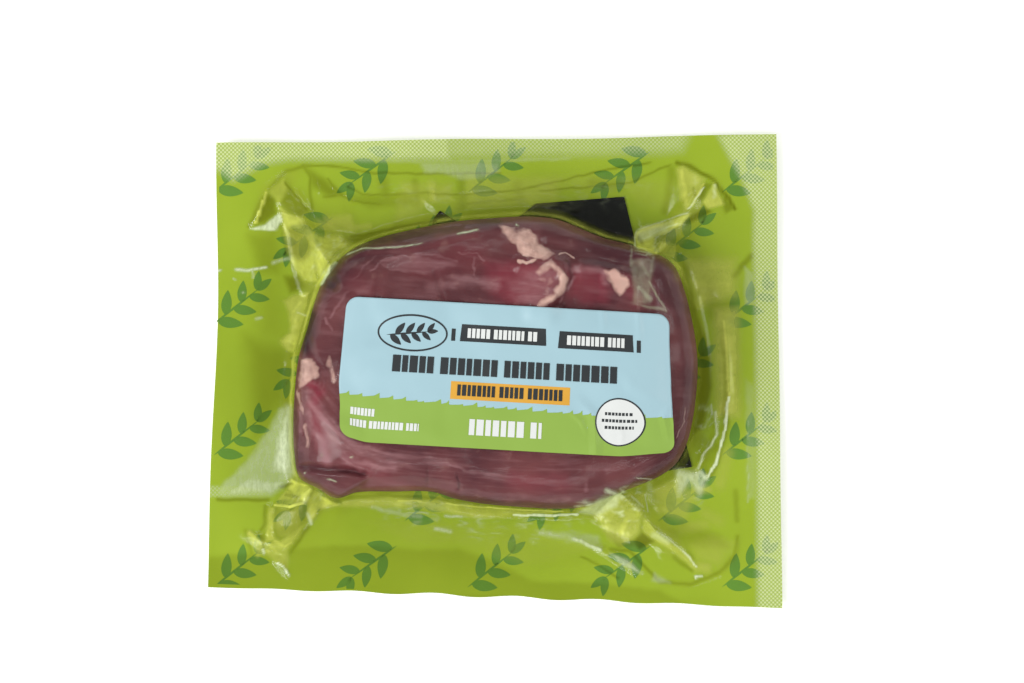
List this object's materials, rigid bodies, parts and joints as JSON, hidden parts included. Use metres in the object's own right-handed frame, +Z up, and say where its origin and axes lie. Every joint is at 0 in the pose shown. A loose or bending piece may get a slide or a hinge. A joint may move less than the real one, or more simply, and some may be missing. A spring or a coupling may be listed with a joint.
{
  "type": "vacuum-packed beef tenderloin steak",
  "caption": "Raw beef tenderloin steak sealed between a clear film and a printed green backing film, with an absorbent pad beneath it and a label on top.",
  "frame": {"origin": "on the surface that the pack lies on, at the middle of the pack's outline", "axes": "+Z up out of the backing film, +X to the right along the label, +Y towards the label's upper edge"},
  "size_m": [0.1536, 0.127, 0.0269],
  "materials": {
    "backing_film": "green printed plastic film",
    "absorbent_pad": "black soaked fibre pad",
    "raw_meat": "wet raw meat with pale fat",
    "clear_film": "clear crumpled vacuum film",
    "label": "satin coated paper printed in blue and green fields"
  },
  "bodies": {
    "root": {"backing_film": "backing_film", "absorbent_pad": "absorbent_pad", "steak": "raw_meat", "clear_film": "clear_film", "label": "label"}
  },
  "joints": []
}
